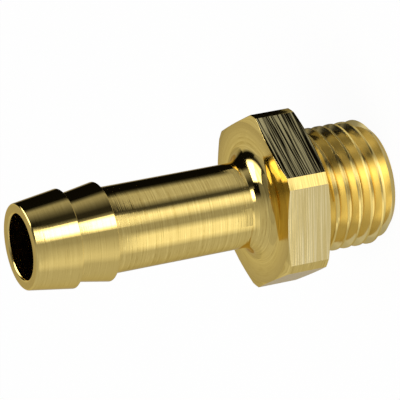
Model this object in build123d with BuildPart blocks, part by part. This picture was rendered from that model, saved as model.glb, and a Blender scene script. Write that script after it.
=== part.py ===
from build123d import *
import os
from math import ceil, cos, radians, tan

# Hose barb tail: one piece, turned from hexagon bar and bored through.
# It stands on its threaded end. The axis is Z, and the origin is the middle of that end.
# Lengths are in millimetres, and angles in degrees.

# Bore, from the threaded end to the tip
bore_diameter = 6.8

# Small chamfers: on the bore's edge at both ends, and on the tip's outer edge
bore_chamfer = 0.15
tip_edge = 0.1

# Pipe thread: parallel, right-handed, with a 55 degree form and flats on its crests
thread_diameter = 13.157
thread_pitch = 25.4 / 19
thread_depth = 0.8561
thread_form_angle = 55.0
thread_crest_flat = 0.2228
thread_length = 8.9

# Height of one crest above the +X axis, which sets where the thread starts round the axis
thread_crest_height = 5.12

# Plain collar between the thread and the hexagon, with the cone on which the thread runs out
collar_length = 1.0
runout_angle = 45.0

# Chamfer at the threaded end. Its depth is taken off the crest's radius.
end_chamfer = 1.08
end_chamfer_angle = 45.0

# Hexagon. Its sharp corners are turned down, and chamfered towards both faces.
# The seat face is the plain ring round the thread. The front face ends a chamfer's width inside the corners.
hexagon_flats = 17.0
hexagon_length = 5.0
corner_turning = 0.35
seat_face_width = 1.42
front_chamfer_width = 0.915
corner_chamfer_angle = 15.0

# Stem for the hose, with a fillet into the hexagon
stem_diameter = 9.0
stem_length = 17.25
stem_fillet = 2.1

# Barbs: each is a cone that widens from the stem's diameter and ends in a square step
barb_diameter = 10.4
lower_barb_length = 4.0
tip_barb_length = 4.85

# Radii
bore_radius = bore_diameter / 2
thread_radius = thread_diameter / 2
root_radius = thread_radius - thread_depth
end_radius = thread_radius - end_chamfer
corner_radius = hexagon_flats / 2 / cos(radians(30)) - corner_turning
seat_face_radius = thread_radius + seat_face_width
front_face_radius = corner_radius - front_chamfer_width
stem_radius = stem_diameter / 2
barb_radius = barb_diameter / 2

# Heights of the main planes, from the threaded end up
seat_height = thread_length
front_height = seat_height + hexagon_length
lower_step_height = front_height + stem_length
upper_step_height = lower_step_height + lower_barb_length
tip_height = upper_step_height + tip_barb_length

# Cutters run past what they cut by a clearance.
clearance = 0.1

# The thread's groove is a trapezium, and its cutter runs past the crests.
flank_slope = tan(radians(thread_form_angle / 2))
groove_radius = thread_radius + clearance
groove_half_top = (thread_pitch - thread_crest_flat) / 2 + clearance * flank_slope
groove_half_root = (thread_pitch - thread_crest_flat) / 2 - thread_depth * flank_slope

# A groove stands half a pitch from a crest. The cutter starts whole turns below it, in the air under the end.
turns_below = ceil(thread_crest_height / thread_pitch) + 2
groove_start = thread_crest_height - thread_pitch / 2 - turns_below * thread_pitch
runout_height = seat_height - collar_length
groove_end = runout_height + groove_half_top + clearance

# The keep-out cone under the hexagon starts at the bore and is wider than the cutter.
keep_out_radius = groove_radius + 1.0
runout_slope = 1 / tan(radians(runout_angle))

with BuildPart() as groove:
    with BuildLine() as groove_path:
        Helix(thread_pitch, groove_end - groove_start, root_radius, center=(0, 0, groove_start))
    with BuildSketch(Plane.XZ):
        with BuildLine():
            Polyline(
                (root_radius, groove_start - groove_half_root),
                (groove_radius, groove_start - groove_half_top),
                (groove_radius, groove_start + groove_half_top),
                (root_radius, groove_start + groove_half_root),
                close=True,
            )
        make_face()
    sweep(path=groove_path.line, is_frenet=True)

    # Nothing is cut from the collar, and under it the groove's root rises along the cone.
    with BuildSketch(Plane.XZ):
        with BuildLine():
            Polyline(
                (bore_radius, runout_height - (thread_radius - bore_radius) * runout_slope),
                (keep_out_radius, runout_height + (keep_out_radius - thread_radius) * runout_slope),
                (keep_out_radius, groove_end + thread_pitch),
                (bore_radius, groove_end + thread_pitch),
                close=True,
            )
        make_face()
    revolve(axis=Axis.Z, mode=Mode.SUBTRACT)

with BuildPart() as thread:
    # Round blank, a pitch longer than the thread, with the groove cut into it
    with BuildSketch(Plane.XY.offset(-thread_pitch)):
        Circle(thread_radius)
    extrude(amount=thread_length + thread_pitch)
    add(groove.part, mode=Mode.SUBTRACT)

    # The end is faced off and chamfered through the first turns.
    end_slope = 1 / tan(radians(end_chamfer_angle))
    with BuildSketch(Plane.XZ):
        with BuildLine():
            Polyline(
                (0, 0),
                (end_radius, 0),
                (keep_out_radius, (keep_out_radius - end_radius) * end_slope),
                (keep_out_radius, seat_height + thread_pitch),
                (0, seat_height + thread_pitch),
                close=True,
            )
        make_face()
    revolve(axis=Axis.Z, mode=Mode.INTERSECT)

with BuildPart() as hexagon:
    # Hexagon bar, with two of its flats square to the X axis and its corners turned down
    with BuildSketch(Plane.XY.offset(seat_height)):
        RegularPolygon(hexagon_flats / 2, 6, major_radius=False, rotation=30)
        Circle(corner_radius, mode=Mode.INTERSECT)
    extrude(amount=hexagon_length)

    # From each face's circle a shallow cone falls away over the corners. Its cutter reaches past them.
    cutter_reach = hexagon_flats / 2
    cutter_fall = cutter_reach * tan(radians(corner_chamfer_angle))
    for face_radius, face_height, inner_height in (
        (seat_face_radius, seat_height, seat_height + cutter_fall),
        (front_face_radius, front_height, front_height - cutter_fall),
    ):
        with BuildSketch(Plane.XZ):
            with BuildLine():
                Polyline(
                    (face_radius, face_height),
                    (face_radius + cutter_reach, face_height),
                    (face_radius + cutter_reach, inner_height),
                    close=True,
                )
            make_face()
        revolve(axis=Axis.Z, mode=Mode.SUBTRACT)

with BuildPart() as tail:
    add(thread.part)
    add(hexagon.part)

    # Stem and barbs in one profile, which starts with the fillet's arc
    with BuildSketch(Plane.XZ):
        with BuildLine():
            foot = Line((0, front_height), (stem_radius + stem_fillet, front_height))
            bend = RadiusArc(foot @ 1, (stem_radius, front_height + stem_fillet), stem_fillet)
            Polyline(
                bend @ 1,
                (stem_radius, lower_step_height),
                (barb_radius, lower_step_height),
                (stem_radius, upper_step_height),
                (barb_radius, upper_step_height),
                (stem_radius, tip_height - tip_edge),
                (stem_radius - tip_edge, tip_height),
                (0, tip_height),
                (0, front_height),
            )
        make_face()
    revolve(axis=Axis.Z)

    # Bore right through, with a chamfer at each end that runs out past it
    with BuildSketch(Plane.XZ):
        with BuildLine():
            Polyline(
                (0, -clearance),
                (bore_radius + bore_chamfer + clearance, -clearance),
                (bore_radius, bore_chamfer),
                (bore_radius, tip_height - bore_chamfer),
                (bore_radius + bore_chamfer + clearance, tip_height + clearance),
                (0, tip_height + clearance),
                close=True,
            )
        make_face()
    revolve(axis=Axis.Z, mode=Mode.SUBTRACT)
tail.part.label = "tail"

os.makedirs("parts", exist_ok=True)
export_step(tail.part, "parts/tail.step")
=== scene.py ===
# %% [markdown]
# # A hose barb tail in turned brass
#
# The object is one piece of brass: a barbed stem for a hose, a hexagon for the spanner, and a pipe thread.
# It is turned from hexagon bar, so nearly every face is a line carried round one axis, and the rest are the
# bar's six flats. It stands on its threaded end, with the axis along Z.
#
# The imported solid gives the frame. It is right in form, but its facets are coarse, and a polished metal shows
# each one. So this script draws the same form once more as a fine surface, with the small edge breaks that
# catch the light, and gives it its finish.

# %% Load the frame
import bmesh
import bpy
import numpy as np
from math import acos, cos, pi, radians, sin, tan
from mathutils import Matrix, Vector


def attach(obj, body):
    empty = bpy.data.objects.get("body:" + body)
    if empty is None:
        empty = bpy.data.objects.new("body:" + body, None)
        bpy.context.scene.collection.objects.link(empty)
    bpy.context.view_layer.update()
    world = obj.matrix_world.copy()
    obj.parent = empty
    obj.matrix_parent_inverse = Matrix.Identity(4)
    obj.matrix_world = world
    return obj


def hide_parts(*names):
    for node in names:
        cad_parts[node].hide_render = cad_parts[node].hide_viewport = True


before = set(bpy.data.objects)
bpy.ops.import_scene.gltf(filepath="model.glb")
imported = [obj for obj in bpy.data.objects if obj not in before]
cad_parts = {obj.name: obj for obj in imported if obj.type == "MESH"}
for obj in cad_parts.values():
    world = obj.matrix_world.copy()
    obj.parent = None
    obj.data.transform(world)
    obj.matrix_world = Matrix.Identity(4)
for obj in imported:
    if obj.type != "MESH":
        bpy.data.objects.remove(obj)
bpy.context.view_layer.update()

MM = 0.001

# %% [markdown]
# ## Where the camera stands
#
# The photograph looks along the tail's axis at a slant: the tip points to the left and towards the viewer. In
# the tail's own frame, where the axis stands upright, that is a camera a little above the horizon and turned
# onto its side. It is far away with a long lens, because the tip and the thread are drawn nearly to one scale.
# It could be set by eye. These values were fitted to the outline in the photograph instead, which is surer.

# %% Camera
# Lengths in the scene are in metres. Only the lens and the film are in millimetres, as Blender wants them.
VIEW_AZIMUTH = radians(-96.514)
VIEW_ELEVATION = radians(22.507)
VIEW_ROLL = radians(100.827)
VIEW_DISTANCE = 357.06 * MM
VIEW_TARGET = Vector((0, 0, 19.361 * MM))
SIDE_STEP = -0.501 * MM
LIFT = 1.188 * MM
NEAREST_SEEN = 10 * MM
FILM_WIDTH = 36.0
LENS = 310.37


def place_camera():
    """The camera stands on a line from the target: out along the azimuth and up by the elevation.

    Its right and up axes are those of a level camera there, turned back by the roll about the line of sight.
    """
    back = Vector((
        cos(VIEW_ELEVATION) * cos(VIEW_AZIMUTH),
        cos(VIEW_ELEVATION) * sin(VIEW_AZIMUTH),
        sin(VIEW_ELEVATION),
    ))
    level_right = Vector((-sin(VIEW_AZIMUTH), cos(VIEW_AZIMUTH), 0))
    level_up = back.cross(level_right)
    right = cos(VIEW_ROLL) * level_right - sin(VIEW_ROLL) * level_up
    up = sin(VIEW_ROLL) * level_right + cos(VIEW_ROLL) * level_up
    lens = bpy.data.cameras.new("camera")
    lens.sensor_width = FILM_WIDTH
    lens.lens = LENS
    lens.clip_start = NEAREST_SEEN
    camera = bpy.data.objects.new("camera", lens)
    bpy.context.scene.collection.objects.link(camera)
    turn = Matrix((right, up, back)).transposed().to_4x4()
    place = VIEW_TARGET + VIEW_DISTANCE * back + SIDE_STEP * right + LIFT * up
    camera.matrix_world = Matrix.Translation(place) @ turn
    bpy.context.scene.camera = camera
    return camera


camera = place_camera()
print("camera at", [round(v / MM, 1) for v in camera.location], "mm")

# %% [markdown]
# ## Helpers for colours, nodes and meshes
#
# Colours are written as sRGB hex values, as a designer reads them from a screen, and one function turns them
# into the linear values that the renderer wants. One function adds a shader node, and one builds a mesh from
# a grid of points.

# %% Colours and nodes
def linear(hex_colour):
    """sRGB hex to linear: low values are divided by 12.92, the rest follow the 2.4 power curve."""
    values = np.array([int(hex_colour[i:i + 2], 16) for i in (1, 3, 5)]) / 255
    curve = ((values + 0.055) / 1.055) ** 2.4
    return (*np.where(values <= 0.04045, values / 12.92, curve).tolist(), 1.0)


def add_node(tree, kind, settings=None, inputs=None):
    """Adds a node, sets its properties, and fills its inputs with values or with links from other sockets."""
    made = tree.nodes.new(kind)
    for name, value in (settings or {}).items():
        setattr(made, name, value)
    for name, value in (inputs or {}).items():
        if isinstance(value, bpy.types.NodeSocket):
            tree.links.new(value, made.inputs[name])
        else:
            made.inputs[name].default_value = value
    return made


def new_material(name):
    """An empty node material, its tree and its output."""
    material = bpy.data.materials.new(name)
    material.use_nodes = True
    tree = material.node_tree
    tree.nodes.clear()
    return material, tree, tree.nodes.new("ShaderNodeOutputMaterial")


print("middle grey on a screen, #808080, is", round(linear("#808080")[0], 3), "in linear light")


# %% Grids of points
def grid_faces(rows, columns):
    """Quads of a grid of rows by columns points: each joins a point, the next in its row, and the two above."""
    first = np.arange(rows - 1)[:, None] * columns + np.arange(columns - 1)
    return np.stack([first, first + 1, first + 1 + columns, first + columns], -1).reshape(-1, 4)


def grid_mesh(name, points, faces):
    """A mesh object from an array of points and an array of quads."""
    mesh = bpy.data.meshes.new(name)
    mesh.from_pydata(points.reshape(-1, 3), [], faces.tolist())
    made = bpy.data.objects.new(name, mesh)
    bpy.context.scene.collection.objects.link(made)
    return made


print("a grid of 3 by 3 points has", len(grid_faces(3, 3)), "faces")

# %% [markdown]
# ## The studio
#
# The floor is plain and pale, and the world round it is white. Metal has no colour of its own in the shade: it
# shows what stands round it. A photographer therefore sets cards round a piece of brass, black ones for
# the dark edges and lit ones for the bright bands. These cards are seen only in the metal. The camera looks
# past them, and they throw no shadow.
#
# The stem shows the floor at about 40 to 80 mm from the axis, the hexagon's flats show it at 30 to 42 mm, and
# the barbs show what stands on it. So the cards for the stem and the flats lie on the floor, and the cards for
# the barbs stand round them.

# %% Floor and world
FLOOR_SIZE = 6.0
FLOOR_WHITE = "#F4F3F1"
FLOOR_GLOW = 0.95


def seen_directly(tree):
    """1 for rays from the camera, from a glossy surface or through a clear one, and 0 for the rest."""
    path = add_node(tree, "ShaderNodeLightPath")
    either = add_node(tree, "ShaderNodeMath", {"operation": "MAXIMUM"},
                      {0: path.outputs["Is Camera Ray"], 1: path.outputs["Is Glossy Ray"]})
    return add_node(tree, "ShaderNodeMath", {"operation": "MAXIMUM"},
                    {0: either.outputs[0], 1: path.outputs["Is Transmission Ray"]}).outputs[0]


def paper_floor():
    """White paper. Part of what is seen is its own white, and the rest is the light on it, with the shadow."""
    material, tree, output = new_material("white_paper_floor")
    lit = add_node(tree, "ShaderNodeBsdfDiffuse", inputs={"Color": linear(FLOOR_WHITE)})
    white = add_node(tree, "ShaderNodeEmission", inputs={"Strength": 1.0})
    share = add_node(tree, "ShaderNodeMath", {"operation": "MULTIPLY"},
                     {0: seen_directly(tree), 1: FLOOR_GLOW})
    mixed = add_node(tree, "ShaderNodeMixShader",
                     inputs={0: share.outputs[0], 1: lit.outputs[0], 2: white.outputs[0]})
    tree.links.new(mixed.outputs[0], output.inputs["Surface"])
    return material


half = FLOOR_SIZE / 2
corners = np.array([[-half, -half, 0], [half, -half, 0], [-half, half, 0], [half, half, 0]])
floor = grid_mesh("floor", corners, grid_faces(2, 2))
floor.data.materials.append(paper_floor())

WORLD_LEVEL = 0.75
world = bpy.data.worlds.new("studio")
bpy.context.scene.world = world
world.use_nodes = True
world.node_tree.nodes.clear()
level = add_node(world.node_tree, "ShaderNodeMapRange",
                 inputs={"Value": seen_directly(world.node_tree), "To Min": WORLD_LEVEL, "To Max": 1.0})
air = add_node(world.node_tree, "ShaderNodeBackground", inputs={"Strength": level.outputs[0]})
add_node(world.node_tree, "ShaderNodeOutputWorld", inputs={"Surface": air.outputs[0]})
print("floor and world: white, with the floor's own share", FLOOR_GLOW)

# %% [markdown]
# ### Cards
#
# The metal is rounded, so each card shows in it as a band along the tail: a lit card makes a bright band and a
# black one a dark edge. Each card is a strip of cardboard bent round the axis, which lies on the floor or
# stands on it. They could be flat boards, as on a real table, but a bent strip makes a band that keeps its
# width and its grey along a round piece.
#
# The thread looks more steeply at the floor than the stem does, so it has a low cone of its own just round its
# foot.
#
# An angle tells where round the tail a card stands, as the camera sees it: 0 is below the tail in the picture,
# 90 faces the viewer, 180 is above it and 270 is behind.

# %% The cards' finish
def card_finish():
    """A studio card that gives off its own grey level."""
    material, tree, output = new_material("studio_card")
    level = add_node(tree, "ShaderNodeAttribute", {"attribute_name": "glow"})
    glow = add_node(tree, "ShaderNodeEmission", inputs={"Strength": level.outputs["Fac"]})
    tree.links.new(glow.outputs[0], output.inputs["Surface"])
    return material


CARD_FINISH = card_finish()
print("finish of the cards:", CARD_FINISH.name)

# %% One card
# Azimuth of the side that is below the tail in the picture, where a card's angle is 0, in degrees
BELOW_THE_TAIL = -186.514
# Angle between two points of a card, in degrees
CARD_STEP = 2


def card(name, points, shades):
    """A strip whose profile of (radius, height) points in mm is carried round the axis, from shade to shade.

    A shade is an angle in degrees and a grey level, and between two shades the level runs evenly.
    """
    stops, levels = np.array(shades).T
    count = max(2, round((stops[-1] - stops[0]) / CARD_STEP) + 1)
    angle = np.linspace(stops[0], stops[-1], count)
    turn = np.radians(angle + BELOW_THE_TAIL)
    radius, height = np.array(points).T[:, :, None] * MM
    surface = np.stack([radius * np.cos(turn), radius * np.sin(turn), height + 0 * turn], -1)
    made = grid_mesh(name, surface, grid_faces(len(points), count))
    glow = made.data.attributes.new("glow", "FLOAT", "POINT")
    glow.data.foreach_set("value", np.tile(np.interp(angle, stops, levels), len(points)))
    made.data.materials.append(CARD_FINISH)
    made.visible_camera = False
    made.visible_diffuse = False
    made.visible_transmission = False
    made.visible_shadow = False


print("a card has a point every", CARD_STEP, "degrees")

# %% Sizes and greys of the cards
# Heights of cards that lie on the floor, one above the other, in mm
LOW, END_RING, LOWER_RING, UPPER_RING = 0.05, 0.075, 0.1, 0.15
# Radii: under the tail, where the floor's card ends, and where the tent stands
NEAR, FAR, WALL = 5.6, 80, 160
# Heights of the tent's two walls, and how far its top rises to the middle
HIGH, CEILING, PEAK = 150, 330, 390
# The soft box hangs just inside the tent
BOX = WALL - 4
# Grey levels: tan card, dim card, lit card, black card, lamp, and the glow above a lamp
TAN, DIM, BRIGHT, BLACK, LAMP, HALO = 0.55, 0.4, 1.2, 0.004, 5.0, 2.2
print("tent", 2 * WALL, "mm wide and", PEAK, "mm high")

# %% Cards round the stem and the barbs
# The stem shows this one: two lit bands with a dim one between, and black where its upper edge turns away.
card("floor_ring", [(NEAR, LOW), (FAR, LOW)], [
    (-85, 0.42), (-50, 0.48), (-30, TAN), (13, TAN), (31, BRIGHT), (56, BRIGHT), (72, DIM),
    (86, DIM), (100, BRIGHT), (108, 1.35), (111, BRIGHT), (123, 0.08), (129, 0.05), (147, TAN), (175, TAN),
    (190, 0.06), (197, BLACK), (240, BLACK), (250, 0.42), (275, 0.42),
])
# The barbs slope towards the tip, so they look over the floor's card at this wall.
card("low_wall", [(FAR, LOW), (FAR, 34)], [
    (122, 0.3), (130, 0.025), (141, 0.025), (150, 0.11), (158, 0.21), (166, 0.33), (174, 0.38), (178, 0.27),
    (182, 0.1), (188, BLACK), (240, BLACK), (250, 0.42), (320, TAN), (375, TAN), (390, 0.8), (400, 0.8),
    (426, TAN), (438, DIM), (450, DIM),
])
# Bright band along the barbs
card("front_lamp", [(92, LOW), (150, LOW), (150, 32)], [
    (87, DIM), (90, 0.7), (92, 1.3), (96, 2.0), (100, LAMP), (115, LAMP), (121, 1.7), (128, 0.3), (132, 0.1),
])
# The broken edges of the barbs look down more steeply than their cones, at the floor nearer the tail.
card("edge_ring", [(29, LOWER_RING), (38, LOWER_RING)], [(76, 0.9), (82, 1.45), (118, 1.45), (130, 0.9)])
print("cards for the stem and the barbs are set")

# %% Cards round the thread
# What a flank shows has bounced off the flank above it, and so looks steeply down, at a low cone round the
# thread's foot. The lowest turns stand inside the cone, and they show the ring on the floor under it.
CONE_TOP, CONE_FOOT = (6.9, 3.0), (14.1, LOWER_RING)
THREAD_SHADES = [
    (-118, 0.45), (0, 0.46), (30, 0.6), (45, 0.75), (60, 0.95), (75, 1.2), (90, 1.9), (97, 2.3), (104, 2.2),
    (112, 1.3), (119, 0.62), (125, 0.4), (134, 0.45), (144, 0.78), (168, 0.75), (182, 0.33), (235, 0.2),
    (246, 0.45),
]
card("thread_cone", [CONE_TOP, CONE_FOOT], THREAD_SHADES)
card("thread_ring", [(7.0, LOWER_RING), (9.8, LOWER_RING)], THREAD_SHADES)
# The crests look less steeply down, at the floor beyond the cone.
card("crest_ring", [CONE_FOOT, (27, LOWER_RING)], [
    (118, 0.8), (125, 0.1), (132, 0.04), (142, 0.06), (150, 0.2), (185, 0.2), (222, 0.25),
])
# What the chamfer at the threaded end looks at
card("end_ring", [(4.5, END_RING), (6.9, END_RING)], [(-90, 0.5), (270, 0.5)])
print("cards for the thread are set")

# %% Cards for the hexagon's flats
# One for the flat that faces the viewer, and one for the flat above it
card("flat_ring", [(18, UPPER_RING), (43, UPPER_RING)], [(30, 0.64), (76, 0.64)])
card("flat_ring_above", [(22, UPPER_RING), (43, UPPER_RING)], [(136, 0.38), (200, 0.38)])
print("cards for the flats are set")

# %% [markdown]
# ### Soft box and tent
#
# The fillet turns from the side of the stem to the hexagon's front face, so it shows all that stands between
# the floor before it and the wall behind, right over the top. A soft box makes the white spot on it, and a tent
# of plain cloth closes the rest. The front face and the face of the tip show the tent's wall behind them.
#
# They could be flat panels, but as strips bent round the axis they are made like all the other cards, and each
# keeps one height in the metal.

# %% Soft box
# Its light falls off towards its edges, as behind real cloth. These are the heights of the edges of its four
# strips, in mm.
BOX_FOOT, BOX_LOW, BOX_HIGH, BOX_NECK, BOX_HEAD = 58, 66, 140, 270, 285
card("soft_box_foot", [(BOX, BOX_FOOT), (BOX, BOX_LOW)], [(144, 0.2), (154, 1.0), (192, 1.0), (206, 0.2)])
card("soft_box", [(BOX, BOX_LOW), (BOX, BOX_HIGH)], [(139, 0.3), (147, LAMP), (199, LAMP), (214, 0.3)])
card("soft_box_top", [(BOX, BOX_HIGH), (BOX, BOX_NECK)], [(141, 0.3), (148, HALO), (202, HALO), (216, 0.1)])
card("soft_box_head", [(BOX, BOX_NECK), (BOX, BOX_HEAD)], [(150, 0.2), (156, 0.9), (196, 0.9), (210, 0.1)])
print("soft box from", BOX_FOOT, "to", BOX_HEAD, "mm")

# %% Tent
# Radius of the hole that is left in the middle of its top, in mm
TENT_HOLE = 5
card("tent_low", [(WALL, LOW), (WALL, HIGH)], [
    (60, 0.54), (80, 0.42), (95, 0.32), (106, 0.05), (112, BLACK), (236, BLACK), (246, 0.6), (300, 0.6),
    (340, 0.54), (420, 0.54),
])
card("tent_high", [(WALL, HIGH), (WALL, CEILING)], [
    (60, 0.5), (80, 0.4), (95, 0.3), (110, 0.2), (135, 0.2), (150, 0.03), (225, 0.03), (240, 0.38),
    (300, 0.5), (420, 0.5),
])
card("tent_top", [(WALL, CEILING), (TENT_HOLE, PEAK)], [
    (-90, 0.42), (60, 0.42), (90, 0.3), (120, 0.18), (200, 0.18), (270, 0.42),
])
print("tent closed up to a hole", 2 * TENT_HOLE, "mm wide")

# %% [markdown]
# ### Lamp
#
# One soft lamp lights the paper, so that the tail throws a shadow on it. It could light the brass too, but the
# brass would show it as one more bright patch, so the metal doesn't see it: all that shines there is the cards.

# %% Lamp
# In metres and watts. It hangs above the tail, on the viewer's side.
LAMP_PLACE = (-0.25, -0.25, 0.7)
LAMP_SIZE = 0.5
LAMP_POWER = 3.0
lamp_data = bpy.data.lights.new("soft_lamp", "AREA")
lamp_data.shape = "SQUARE"
lamp_data.size = LAMP_SIZE
lamp_data.energy = LAMP_POWER
lamp = bpy.data.objects.new("soft_lamp", lamp_data)
lamp.location = LAMP_PLACE
lamp.rotation_euler = Vector(lamp.location).to_track_quat("Z", "Y").to_euler()
lamp.visible_camera = False
lamp.visible_glossy = False
bpy.context.scene.collection.objects.link(lamp)
print("lamp of", LAMP_POWER, "watts at", LAMP_PLACE)

# %% [markdown]
# ## The form of the tail
#
# The tail is one closed profile carried round the axis. It runs up the outside from the threaded end to the
# tip and comes back down the bore. At the hexagon the profile's radius depends on the angle, because the
# flats cut it, and at the thread its heights do, because the rows climb with the helix.
#
# It could also be a plain turned shape with a Screw modifier for the thread and a Bevel for the edges. In one
# grid every row of points runs round the axis as the tool did, so the rings can follow it, and each broken edge
# gets its own width.
#
# The sizes are those of the solid, in millimetres, but for two. The corners are turned 0.003 mm deeper, so that
# they stay inside the solid's box, and the thread runs on nearly to the hexagon, as in the photograph.

# %% Sizes
BORE_RADIUS = 3.4
BORE_CHAMFER = 0.15
TIP_EDGE = 0.1
THREAD_RADIUS = 13.157 / 2
THREAD_PITCH = 25.4 / 19
THREAD_DEPTH = 0.8561
THREAD_FLAT = 0.2228
THREAD_CREST_HEIGHT = 5.12
THREAD_FORM_ANGLE = 55
FLANK_SLOPE = tan(radians(THREAD_FORM_ANGLE / 2))
RUNOUT_HEIGHT = 8.6
END_CHAMFER = 1.08
END_RADIUS = THREAD_RADIUS - END_CHAMFER
FLATS = 6
SIXTH, HALF_SIXTH = 2 * pi / FLATS, pi / FLATS
SEAT_HEIGHT = 8.9
FRONT_HEIGHT = 13.9
APOTHEM = 8.5
CORNER_TURNING = 0.353
CORNER_RADIUS = APOTHEM / cos(HALF_SIXTH) - CORNER_TURNING
CORNER_CHAMFER_ANGLE = 15
CORNER_SLOPE = tan(radians(CORNER_CHAMFER_ANGLE))
SEAT_FACE_WIDTH = 1.42
SEAT_RADIUS = THREAD_RADIUS + SEAT_FACE_WIDTH
FRONT_CHAMFER_WIDTH = 0.915
FACE_RADIUS = CORNER_RADIUS - FRONT_CHAMFER_WIDTH
STEM_RADIUS = 4.5
FILLET_RADIUS = 2.1
BARB_RADIUS = 5.2
LOWER_STEP = 31.15
UPPER_STEP = 35.15
TIP_HEIGHT = 40.0
print("thread from 0 to", RUNOUT_HEIGHT, "hexagon from", SEAT_HEIGHT, "to", FRONT_HEIGHT, "tip at", TIP_HEIGHT)

# %% Angles round the axis
# Half the angle that a turned corner, or land, takes up between two flats
LAND_HALF = HALF_SIXTH - acos(APOTHEM / CORNER_RADIUS)
# Angle from an edge to the column beside it, and the number of columns on a flat and on half a land
EDGE_STEP = radians(0.1)
FLAT_COLUMNS = 48
LAND_COLUMNS = 4


def angles_round():
    """Angles of the columns, from one corner's middle round to the same corner again.

    One sixth runs from corner to corner: half a land, a flat and half a land. Two columns stand close to
    each edge between land and flat, so that the edge stays crisp.
    """
    edge = HALF_SIXTH - LAND_HALF
    flat = np.linspace(-edge + EDGE_STEP, edge - EDGE_STEP, FLAT_COLUMNS)
    land = np.linspace(edge + EDGE_STEP, HALF_SIXTH, LAND_COLUMNS)
    sixth = np.concatenate([-land[::-1], [-edge], flat, [edge], land[:-1]])
    turns = (np.arange(FLATS) * 2 * pi / FLATS)[:, None]
    return np.append((sixth + turns).ravel(), 2 * pi - HALF_SIXTH)


ANGLE = angles_round()
# The same angles, counted from the middle of the nearest flat
FROM_FLAT = (ANGLE + HALF_SIXTH) % SIXTH - HALF_SIXTH
print("columns round the axis:", len(ANGLE))

# %% Rounded corners
# How far from a corner its curve starts, in mm: on the stem, barbs and ends, on the hexagon and on the thread
CUT = 0.1
HEXAGON_CUT = 0.03
THREAD_CUT = 0.006
BEND_STEPS = 3
SHORTEST_SIDE = 1e-9


def round_corners(profile, cut):
    """Breaks the inner corners of a profile, an array of (radius, height) by point and by column.

    Each corner becomes a short curve between two points that lie on its sides, at a distance of cut or at
    most a third of the side: a weighted mean of the first point, the corner and the second, with the squares
    and the product of the distances as weights.
    """
    corner, before, after = profile[1:-1], profile[:-2], profile[2:]

    def on_side(other):
        side = other - corner
        length = np.maximum(np.linalg.norm(side, axis=-1, keepdims=True), SHORTEST_SIDE)
        return corner + side * np.minimum(cut / length, 1 / 3)

    first, second = on_side(before), on_side(after)
    step = np.linspace(0, 1, BEND_STEPS + 1)[:, None, None, None]
    bend = first * (1 - step) ** 2 + 2 * corner * step * (1 - step) + second * step ** 2
    bend = np.moveaxis(bend, 0, 1).reshape(-1, *profile.shape[1:])
    return np.concatenate([profile[:1], bend, profile[-1:]])


print("a broken corner has", BEND_STEPS + 1, "points")

# %% The plain part of the profile
FILLET_POINTS = 25


def plain_profile():
    """The profile from the run-out of the thread up to the tip, down the bore, and out to the threaded end.

    At the hexagon the radius at an angle is the smaller of the flat's distance over the cosine of the angle
    from its middle, and the turned corner's radius. The chamfers fall or rise with the radius beyond the
    face's circle. The fillet is a quarter circle, by the cosine and the sine of an angle that falls to 0.
    """
    outer = np.minimum(APOTHEM / np.cos(FROM_FLAT), CORNER_RADIUS)
    seat_edge = SEAT_HEIGHT + np.maximum(outer - SEAT_RADIUS, 0) * CORNER_SLOPE
    face_edge = FRONT_HEIGHT - np.maximum(outer - FACE_RADIUS, 0) * CORNER_SLOPE
    bend = np.linspace(pi / 2, 0, FILLET_POINTS)
    foot_radius = STEM_RADIUS + FILLET_RADIUS * (1 - np.cos(bend))
    foot_height = FRONT_HEIGHT + FILLET_RADIUS * (1 - np.sin(bend))

    def ring(radius, height):
        return np.stack(np.broadcast_arrays(radius, height, ANGLE)[:2], -1)

    below = [
        ring(THREAD_RADIUS, RUNOUT_HEIGHT),
        ring(THREAD_RADIUS, SEAT_HEIGHT),
        ring(np.minimum(SEAT_RADIUS, outer), SEAT_HEIGHT),
        ring(outer, seat_edge),
        ring(outer, face_edge),
        ring(np.minimum(FACE_RADIUS, outer), FRONT_HEIGHT),
        ring(foot_radius[0], foot_height[0]),
    ]
    above = [
        ring(foot_radius[-1], foot_height[-1]),
        ring(STEM_RADIUS, LOWER_STEP),
        ring(BARB_RADIUS, LOWER_STEP),
        ring(STEM_RADIUS, UPPER_STEP),
        ring(BARB_RADIUS, UPPER_STEP),
        ring(STEM_RADIUS, TIP_HEIGHT - TIP_EDGE),
        ring(STEM_RADIUS - TIP_EDGE, TIP_HEIGHT),
        ring(BORE_RADIUS + BORE_CHAMFER, TIP_HEIGHT),
        ring(BORE_RADIUS, TIP_HEIGHT - BORE_CHAMFER),
        ring(BORE_RADIUS, BORE_CHAMFER),
        ring(BORE_RADIUS + BORE_CHAMFER, 0),
        ring(END_RADIUS, 0),
    ]
    fillet = ring(foot_radius[1:-1, None], foot_height[1:-1, None])
    return np.concatenate([
        round_corners(np.stack(below), HEXAGON_CUT),
        fillet,
        round_corners(np.stack(above), CUT),
    ])


plain = plain_profile()
print("rows in the plain part:", len(plain), "of which the fillet has", FILLET_POINTS)

# %% [markdown]
# ### How each face was made
#
# The finish depends on how the metal was cut at each point: milled flats, faced-off faces, and barbs cut with a
# form tool. A shader could tell them apart by height and by direction, but only roughly at the edges. So the
# points are marked now, while the profile is at hand.

# %% Where the flats are
# How deeply each flat is marked, from the one square to +X round the axis. The last is the deeply scored one.
# The deeply scored one also has streaks of painted shade and painted reflection in its colour.
FLAT_SCORE = (0.4, 0.6, 0.4, 0.2, 0.3, 1.0)
ON_THE_FACE = 0.001


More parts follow.
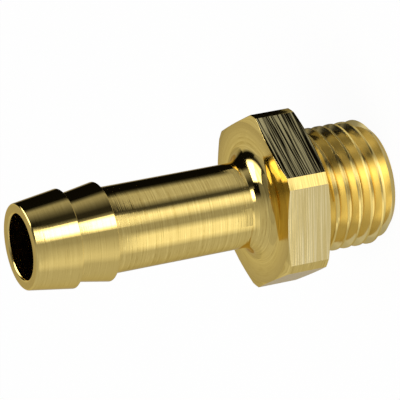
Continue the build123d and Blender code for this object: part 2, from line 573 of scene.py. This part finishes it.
def milled_share(profile):
    """How deep the milling marks are at each point: 0 off the flats, and on a flat that flat's own share.

    A point is on a flat when its column lies between the flat's edges and its radius is the flat's distance
    over the cosine of the angle from the flat's middle.
    """
    which = np.round(ANGLE / SIXTH).astype(int) % FLATS
    inside = np.abs(FROM_FLAT) < HALF_SIXTH - LAND_HALF + EDGE_STEP / 2
    reached = np.abs(profile[..., 0] * np.cos(FROM_FLAT) - APOTHEM) < ON_THE_FACE
    return np.where(inside & reached, np.array(FLAT_SCORE)[which], 0)


milled = milled_share(plain)
print("points on the flats:", int((milled > 0).sum()))


# %% Where the faces and the barbs are
def faced_share(profile):
    """1 on the hexagon's front face and on the face of the tip, which are faced off, and 0 elsewhere."""
    on_front = (profile[..., 1] == FRONT_HEIGHT) & (profile[..., 0] > STEM_RADIUS + FILLET_RADIUS)
    return np.where(on_front | (profile[..., 1] == TIP_HEIGHT), 1.0, 0.0)


def formed_share(profile):
    """1 on the outside of the barbs, above the lower step, and 0 elsewhere."""
    outside = profile[..., 0] >= STEM_RADIUS - TIP_EDGE
    return np.where(outside & (profile[..., 1] > LOWER_STEP), 1.0, 0.0)


faced, formed = faced_share(plain), formed_share(plain)
print("points on the two faces:", int(faced.sum()), "and on the barbs:", int(formed.sum()))

# %% [markdown]
# ### The thread
#
# A thread is one groove that climbs round the axis. It could be cut from the round bar with a long helical
# cutter, but that leaves ragged edges in a fine mesh. The rows of the grid can make it too, if each climbs by
# one pitch in a turn: after a turn it meets the start of the row above.

# %% The thread
# Copies of the form below and above the crest at THREAD_CREST_HEIGHT
TURNS_BELOW, TURNS_ABOVE = 6, 4


def thread_profile():
    """The threaded part, whose rows climb by one pitch in a turn.

    One turn of the form is a trapezium wave: crest flat, flank, root flat and flank, with its corners
    rounded. Its copies are laid one above the other, and each row's height grows with the angle. Heights are
    then held between the two ends, and the radius between the end's cone and the run-out's cone, so the
    rows gather in one ring at each end.
    """
    half_crest = THREAD_FLAT / 2
    half_root = (THREAD_PITCH - THREAD_FLAT) / 2 - THREAD_DEPTH * FLANK_SLOPE
    root = THREAD_RADIUS - THREAD_DEPTH
    middle = THREAD_PITCH / 2
    wave = np.array([
        (THREAD_RADIUS, 0),
        (THREAD_RADIUS, half_crest),
        (root, middle - half_root),
        (root, middle + half_root),
        (THREAD_RADIUS, THREAD_PITCH - half_crest),
        (THREAD_RADIUS, THREAD_PITCH),
    ])[:, None]
    wave = round_corners(wave, THREAD_CUT)[:-1, 0]
    turns = np.arange(-TURNS_BELOW, TURNS_ABOVE + 1)[:, None] * THREAD_PITCH + THREAD_CREST_HEIGHT
    radius = np.tile(wave[:, 0], len(turns))[:, None]
    height = (wave[:, 1] + turns).ravel()[:, None] + THREAD_PITCH * ANGLE / (2 * pi)
    height = np.clip(height, 0, RUNOUT_HEIGHT)
    radius = np.minimum(radius, END_RADIUS + height)
    radius = np.maximum(radius, THREAD_RADIUS - (RUNOUT_HEIGHT - height))
    return np.stack([radius, height], -1)


thread = thread_profile()
print("rows in the thread:", len(thread))

# %% [markdown]
# ### One closed surface
#
# Each row is now carried round the axis. The two grids meet in a ring at the run-out and another at the
# threaded end, and where their points lie together they become one. The thread could also be a piece of its
# own, but a seam would show in a polished metal, and a closed surface has a volume that can be measured.

# %% Along and round
# Millimetres of the profile that fill the map's width, and where in them the plain part starts
UV_LENGTH = 100
PLAIN_START = 20


def carry_round(profile):
    """Points in metres: radius times cosine and sine of the column's angle, and the height."""
    radius, height = profile[..., 0], profile[..., 1]
    return np.stack([radius * np.cos(ANGLE), radius * np.sin(ANGLE), height], -1) * MM


def distance_along(profile):
    """Distance from the profile's first row, in millimetres, at each point."""
    steps = np.linalg.norm(np.diff(profile, axis=0), axis=-1)
    return np.concatenate([np.zeros((1, profile.shape[1])), np.cumsum(steps, 0)])


def unrolled_grids():
    """For each grid its profile and the distance along it, which is one value for a row all the way round.

    In the thread that distance is the height, and in the plain part it is measured in the first column.
    """
    return [(thread, thread[..., 1]), (plain, distance_along(plain[:, :1]) + PLAIN_START)]


def shares():
    """What was done to the metal at each point, from 0 to 1, in the order of the two grids."""
    off, on = np.zeros(thread.shape[:2]), np.ones(thread.shape[:2])
    return {
        "milled": (off, milled),
        "threaded": (on, np.zeros_like(milled)),
        "faced": (off, faced),
        "formed": (off, formed),
    }


print("length of the plain profile:", round(float(distance_along(plain[:, :1])[-1, 0]), 1), "mm")

# %% Build the tail
# Points that lie closer than the first become one, and edges shorter than the second are removed.
SAME_POINT = 0.002 * MM
NO_LENGTH = 0.0005 * MM


def build_tail():
    """Joins the two grids into one closed mesh, with a UV map of distance along the profile and angle."""
    points, faces, marks, start = [], [], [], 0
    for profile, along in unrolled_grids():
        rows, columns = profile.shape[:2]
        points.append(carry_round(profile).reshape(-1, 3))
        faces.append(grid_faces(rows, columns) + start)
        spread = np.broadcast_arrays(along / UV_LENGTH, ANGLE / (2 * pi))
        marks.append(np.stack(spread, -1).reshape(-1, 2))
        start += rows * columns
    points, faces, marks = np.concatenate(points), np.concatenate(faces), np.concatenate(marks)
    made = grid_mesh("turned_tail", points, faces)
    mesh = made.data
    layer = mesh.uv_layers.new(name="turning")
    layer.data.foreach_set("uv", marks[faces.ravel()].ravel())
    for name, parts in shares().items():
        share = mesh.attributes.new(name, "FLOAT", "POINT")
        share.data.foreach_set("value", np.concatenate([part.ravel() for part in parts]))
    work = bmesh.new()
    work.from_mesh(mesh)
    bmesh.ops.remove_doubles(work, verts=work.verts, dist=SAME_POINT)
    bmesh.ops.dissolve_degenerate(work, edges=work.edges, dist=NO_LENGTH)
    open_edges = sum(1 for edge in work.edges if len(edge.link_faces) != 2)
    work.to_mesh(mesh)
    volume = work.calc_volume()
    work.free()
    print("turned_tail:", len(mesh.vertices), "points,", len(mesh.polygons), "faces,",
          open_edges, "open edges, volume", round(volume / MM ** 3, 1), "mm3")
    return made


tail = build_tail()


# %% Smooth faces and crisp edges
def weigh_normals(mesh):
    """Each point's normal is the sum of its faces' normals times their areas, brought to length one.

    So a wide face keeps its own direction right up to its edge, and only the narrow faces of a broken edge
    turn from one side to the other.
    """
    count = len(mesh.polygons)
    normals, areas, sizes = np.empty(count * 3), np.empty(count), np.empty(count, int)
    mesh.polygons.foreach_get("normal", normals)
    mesh.polygons.foreach_get("area", areas)
    mesh.polygons.foreach_get("loop_total", sizes)
    corners = np.empty(len(mesh.loops), int)
    mesh.loops.foreach_get("vertex_index", corners)
    total = np.zeros((len(mesh.vertices), 3))
    np.add.at(total, corners, np.repeat(normals.reshape(-1, 3) * areas[:, None], sizes, axis=0))
    total /= np.linalg.norm(total, axis=1, keepdims=True)
    mesh.normals_split_custom_set_from_vertices(total)


tail.data.shade_smooth()
weigh_normals(tail.data)
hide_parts("tail")
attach(tail, "root")
print("turned_tail stands in for the solid, on the root")

# %% [markdown]
# ## Brass
#
# Free-cutting brass comes bright yellow from the lathe, and it wears no coating. Its finish tells how each face
# was made:
#
# - The turned faces carry the fine rings that the tool leaves.
# - The barbs are cut with a form tool in one plunge, which leaves them smoother.
# - The flats are the bar's own, milled across, and one of them is scored deeply.
# - The thread's flanks and the two faces are cut a little rougher than the stem.
#
# Rings and milling marks are both lines round the axis. So each pattern changes quickly along the profile and
# slowly round it. They could be painted on a picture, but a noise that is stretched round the axis never
# repeats, and stays sharp at any distance.

# %% Colours of the brass
# Bright metal, and the same painted darker along its rings, as painted shade
BRASS = "#F9DE8A"
BRASS_PAINTED_RING_SHADE = "#D6BA69"
# Metal seen at a slant is paler
BRASS_EDGE = "#F3E4BC"
# The two faced-off faces, which are duller, and the flanks of the thread, painted paler as painted light that
# they throw on each other
BRASS_FACE = "#D0B66F"
BRASS_FLANK_PAINTED_BOUNCE = "#EDD896"
# Milled flats, and the lightest of the lines across them, painted light as painted glints along the milling
# marks
BRASS_FLAT = "#EAD38E"
FLAT_PAINTED_GLINT = "#FDEBB2"
# The deeply scored flat: its ridges, painted pale as painted reflection, and its grooves, painted nearly black
# as painted shade
SCORE_PAINTED_LIGHT = "#DFD29B"
SCORE_PAINTED_SHADE = "#14110A"
print("bright brass in linear light:", [round(value, 3) for value in linear(BRASS)[:3]])

# %% Places on the surface
# Where a point is: its direction and distance from the axis, its height, how far along the profile it lies, and
# what was done to the metal there. All of it is fixed to the metal.
brass, tree, output = new_material("turned_brass")
place = add_node(tree, "ShaderNodeTexCoord").outputs["Object"]
across = add_node(tree, "ShaderNodeVectorMath", {"operation": "MULTIPLY"}, {0: place, 1: (1, 1, 0)}).outputs[0]
outward = add_node(tree, "ShaderNodeVectorMath", {"operation": "NORMALIZE"}, {0: across}).outputs[0]
from_axis = add_node(tree, "ShaderNodeVectorMath", {"operation": "LENGTH"}, {0: across}).outputs["Value"]
height = add_node(tree, "ShaderNodeSeparateXYZ", inputs={"Vector": place}).outputs["Z"]
height_mm = add_node(tree, "ShaderNodeMath", {"operation": "MULTIPLY"}, {0: height, 1: 1 / MM}).outputs[0]
unrolled = add_node(tree, "ShaderNodeUVMap", {"uv_map": "turning"}).outputs["UV"]
along = add_node(tree, "ShaderNodeSeparateXYZ", inputs={"Vector": unrolled}).outputs["X"]
along_mm = add_node(tree, "ShaderNodeMath", {"operation": "MULTIPLY"}, {0: along, 1: UV_LENGTH}).outputs[0]
milled_at, threaded_at, faced_at, formed_at = (
    add_node(tree, "ShaderNodeAttribute", {"attribute_name": name}).outputs["Fac"]
    for name in ("milled", "threaded", "faced", "formed")
)
# Even the lightest milling counts as a flat, so this rises quickly to 1.
FLAT_RISE = 10.0
on_flat = add_node(tree, "ShaderNodeMath", {"operation": "MULTIPLY", "use_clamp": True},
                   {0: milled_at, 1: FLAT_RISE}).outputs[0]
print("places are read from the map", repr(tail.data.uv_layers[0].name), "and from the marks on the points")

# %% Rings and lines
# Real rings from a fine feed are 0.05 to 0.1 mm apart. A pixel of the picture covers 0.1 mm, so they are drawn
# coarser than they are, at 0.14 mm, and the milling lines at 0.13 mm. The bands are the slow change in the feed
# that groups them, and the patches are where the rings are rubbed nearly smooth. The last number of each is how
# much a pattern changes round the axis, in its own widths for a turn of one radian.
PATTERNS = {
    "ring": (along_mm, 0.14, 0.4),
    "band": (along_mm, 0.6, 0.6),
    "patch": (along_mm, 0.35, 5.0),
    "line": (height_mm, 0.13, 1.0),
    "line_band": (height_mm, 0.7, 0.6),
}
pattern = {}
for name, (travel, width, change) in PATTERNS.items():
    counted = add_node(tree, "ShaderNodeMath", {"operation": "DIVIDE"}, {0: travel, 1: width}).outputs[0]
    upward = add_node(tree, "ShaderNodeCombineXYZ", inputs={"Z": counted}).outputs[0]
    spot = add_node(tree, "ShaderNodeVectorMath", {"operation": "MULTIPLY_ADD"},
                    {0: outward, 1: (change, change, change), 2: upward}).outputs[0]
    pattern[name] = add_node(tree, "ShaderNodeTexNoise", {"noise_dimensions": "3D"},
                             {"Vector": spot, "Scale": 1.0, "Detail": 2.0}).outputs["Fac"]
print("patterns on the brass:", ", ".join(pattern))

# %% [markdown]
# ### Relief
#
# The rings are a few thousandths of a millimetre deep. That is enough to break the edges of the bright bands
# into fine streaks, which is how the eye knows a turned face from a polished one. The milling marks are deeper.
# In the mesh they would take millions of faces, so a bump turns the light as they would.

# %% Relief of the rings
# Depth in mm, and how much of it is left on the barbs and in the rubbed patches
TURNING_DEPTH = 0.0042
FORMED_SHARE = 0.42
RUBBED_SHARE = 0.15
# Levels of the patches between which the rings go from rubbed to clear
RUBBED_LEVEL, CLEAR_LEVEL = 0.4, 0.62
# Weight of the bands beside the rings, and the level that a pattern has on average
BAND_SHARE = 0.5
MIDDLE = 0.5
# A Mix node takes two numbers at inputs 2 and 3, or two colours at 6 and 7, and gives a colour at output 2.
cut_share = add_node(tree, "ShaderNodeMapRange", inputs={
    "Value": formed_at, "To Min": 1.0, "To Max": FORMED_SHARE})
patch_share = add_node(tree, "ShaderNodeMapRange", inputs={
    "Value": pattern["patch"], "From Min": RUBBED_LEVEL, "From Max": CLEAR_LEVEL, "To Min": RUBBED_SHARE})
ring_share = add_node(tree, "ShaderNodeMath", {"operation": "MULTIPLY"},
                      {0: patch_share.outputs[0], 1: cut_share.outputs[0]}).outputs[0]
rings = add_node(tree, "ShaderNodeMix", {"data_type": "FLOAT"},
                 {0: ring_share, 2: MIDDLE, 3: pattern["ring"]}).outputs[0]
band_share = add_node(tree, "ShaderNodeMath", {"operation": "MULTIPLY"},
                      {0: cut_share.outputs[0], 1: BAND_SHARE}).outputs[0]
turned_relief = add_node(tree, "ShaderNodeMath", {"operation": "MULTIPLY_ADD"},
                         {0: pattern["band"], 1: band_share, 2: rings}).outputs[0]
print("rings:", TURNING_DEPTH, "mm deep")

# %% Relief of the flats
MILLING_DEPTH = 0.04
line_sum = add_node(tree, "ShaderNodeMath", {"operation": "ADD"},
                    {0: pattern["line_band"], 1: pattern["line"]}).outputs[0]
line_depth = add_node(tree, "ShaderNodeMath", {"operation": "MULTIPLY"},
                      {0: milled_at, 1: MILLING_DEPTH / TURNING_DEPTH}).outputs[0]
milled_relief = add_node(tree, "ShaderNodeMath", {"operation": "MULTIPLY"},
                         {0: line_sum, 1: line_depth}).outputs[0]
relief = add_node(tree, "ShaderNodeMix", {"data_type": "FLOAT"},
                  {0: on_flat, 2: turned_relief, 3: milled_relief}).outputs[0]
bump = add_node(tree, "ShaderNodeBump", inputs={
    "Strength": 1.0, "Distance": TURNING_DEPTH * MM, "Height": relief}).outputs[0]
print("milling marks:", MILLING_DEPTH, "mm deep on the deeply scored flat")

# %% [markdown]
# ### Colour
#
# Bright brass is one colour, and all that varies it is how much light the fine marks swallow. Along the rings
# it is painted darker, as painted shade, the faced-off faces are duller, and the thread's flanks are painted
# paler, as painted light that they throw on each other.
# On the flats the lines are painted light, as painted glints, except on the scored one, whose grooves are
# painted nearly black, as painted shade, and whose ridges are pale, as painted reflection.

# %% Colour of the turned faces
# Levels of the rings between which the metal goes from bright to its painted shade
BRIGHT_LEVEL, RING_SHADE_LEVEL = 0.37, 0.65
painted_ring_shade = add_node(tree, "ShaderNodeMapRange", inputs={
    "Value": rings, "From Min": BRIGHT_LEVEL, "From Max": RING_SHADE_LEVEL})
turned_colour = add_node(tree, "ShaderNodeMix", {"data_type": "RGBA"}, {
    0: painted_ring_shade.outputs[0], 6: linear(BRASS), 7: linear(BRASS_PAINTED_RING_SHADE)}).outputs[2]
with_faces = add_node(tree, "ShaderNodeMix", {"data_type": "RGBA"}, {
    0: faced_at, 6: turned_colour, 7: linear(BRASS_FACE)}).outputs[2]
print("turned faces from", BRASS, "to", BRASS_PAINTED_RING_SHADE)

# %% Colour of the thread
# A flank is where the distance from the axis lies between the root and the crest, short of both.
FLANK_MIDDLE = THREAD_RADIUS - THREAD_DEPTH / 2
FLANK_MARGIN = 0.03
FLANK_REACH = THREAD_DEPTH / 2 - FLANK_MARGIN
between = add_node(tree, "ShaderNodeMath", {"operation": "COMPARE"}, {
    0: from_axis, 1: FLANK_MIDDLE * MM, 2: FLANK_REACH * MM}).outputs[0]
on_flank = add_node(tree, "ShaderNodeMath", {"operation": "MULTIPLY"}, {0: between, 1: threaded_at}).outputs[0]
# The flanks take the paler colour, painted light for what they throw on each other.
with_thread = add_node(tree, "ShaderNodeMix", {"data_type": "RGBA"}, {
    0: on_flank, 6: with_faces, 7: linear(BRASS_FLANK_PAINTED_BOUNCE)}).outputs[2]
print("flanks", round(2 * FLANK_REACH, 2), "mm deep")

# %% Colour of the flats
# Levels between which a line goes from the flat's colour to the lightest painted glint, and a groove from full
# painted shade to none
LINE_START, LINE_FULL = 0.46, 0.62
FULL_SHADE_LEVEL, NO_SHADE_LEVEL = 0.49, 0.575
BAND_WEIGHT = 0.3
# Milling deeper than the first counts as scored and starts to take the painted streaks, and the second is the
# scored flat's own.
LIGHT_SCORE, DEEP_SCORE = 0.6, 1.0
# The lines follow the real milling marks, and their light colour is a painted glint.
painted_glint_line = add_node(tree, "ShaderNodeMapRange", inputs={
    "Value": pattern["line"], "From Min": LINE_START, "From Max": LINE_FULL})
milled_colour = add_node(tree, "ShaderNodeMix", {"data_type": "RGBA"}, {
    0: painted_glint_line.outputs[0], 6: linear(BRASS_FLAT), 7: linear(FLAT_PAINTED_GLINT)}).outputs[2]
# On the scored flat the grooves, painted dark as painted shade, run in groups, so the lines and their bands are
# weighed together.
grouped = add_node(tree, "ShaderNodeMix", {"data_type": "FLOAT"}, {
    0: BAND_WEIGHT, 2: pattern["line"], 3: pattern["line_band"]}).outputs[0]
painted_groove_shade = add_node(tree, "ShaderNodeMapRange", inputs={
    "Value": grouped, "From Min": FULL_SHADE_LEVEL, "From Max": NO_SHADE_LEVEL, "To Min": 1.0, "To Max": 0.0})
# The scored flat's colour: pale ridges as painted reflection and nearly black grooves as painted shade.
scored_painted_colour = add_node(tree, "ShaderNodeMix", {"data_type": "RGBA"}, {
    0: painted_groove_shade.outputs[0], 6: linear(SCORE_PAINTED_LIGHT), 7: linear(SCORE_PAINTED_SHADE)}).outputs[2]
deep = add_node(tree, "ShaderNodeMapRange", inputs={
    "Value": milled_at, "From Min": LIGHT_SCORE, "From Max": DEEP_SCORE})
flat_colour = add_node(tree, "ShaderNodeMix", {"data_type": "RGBA"}, {
    0: deep.outputs[0], 6: milled_colour, 7: scored_painted_colour}).outputs[2]
colour = add_node(tree, "ShaderNodeMix", {"data_type": "RGBA"}, {
    0: on_flat, 6: with_thread, 7: flat_colour}).outputs[2]
print("flats from", BRASS_FLAT, "to", FLAT_PAINTED_GLINT, "and the scored one from", SCORE_PAINTED_LIGHT, "to", SCORE_PAINTED_SHADE)

# %% [markdown]
# ### Polish
#
# The turned faces are nearly a mirror, a little softer where the rings are. The thread, the faces and the flats
# are cut rougher, so what they mirror is blurred. With one value all round, the tail would look plated.

# %% Roughness and metal
THREAD_ROUGH, FLAT_ROUGH, FACE_ROUGH = 0.15, 0.15, 0.2
# On the turned faces it follows the rings, from smooth to soft between these levels of theirs.
TURNED_SMOOTH, TURNED_SOFT = 0.05, 0.1
SMOOTH_LEVEL, SOFT_LEVEL = 0.3, 0.7
turned_rough = add_node(tree, "ShaderNodeMapRange", inputs={
    "Value": rings, "From Min": SMOOTH_LEVEL, "From Max": SOFT_LEVEL,
    "To Min": TURNED_SMOOTH, "To Max": TURNED_SOFT})
face_rough = add_node(tree, "ShaderNodeMix", {"data_type": "FLOAT"}, {
    0: faced_at, 2: turned_rough.outputs[0], 3: FACE_ROUGH}).outputs[0]
thread_rough = add_node(tree, "ShaderNodeMix", {"data_type": "FLOAT"}, {
    0: threaded_at, 2: face_rough, 3: THREAD_ROUGH}).outputs[0]
rough = add_node(tree, "ShaderNodeMix", {"data_type": "FLOAT"}, {
    0: on_flat, 2: thread_rough, 3: FLAT_ROUGH}).outputs[0]
metal = add_node(tree, "ShaderNodeBsdfPrincipled", inputs={
    "Base Color": colour, "Metallic": 1.0, "Roughness": rough,
    "Specular Tint": linear(BRASS_EDGE), "Normal": bump})
tree.links.new(metal.outputs[0], output.inputs["Surface"])
tail.data.materials.append(brass)
print(brass.name, "has", len(tree.nodes), "nodes")

# %% [markdown]
# ## The finished scene
#
# Colours are shown as they are, with no film curve laid over them.

# %% Finish the scene
settings = bpy.context.scene.view_settings
settings.view_transform = "Standard"
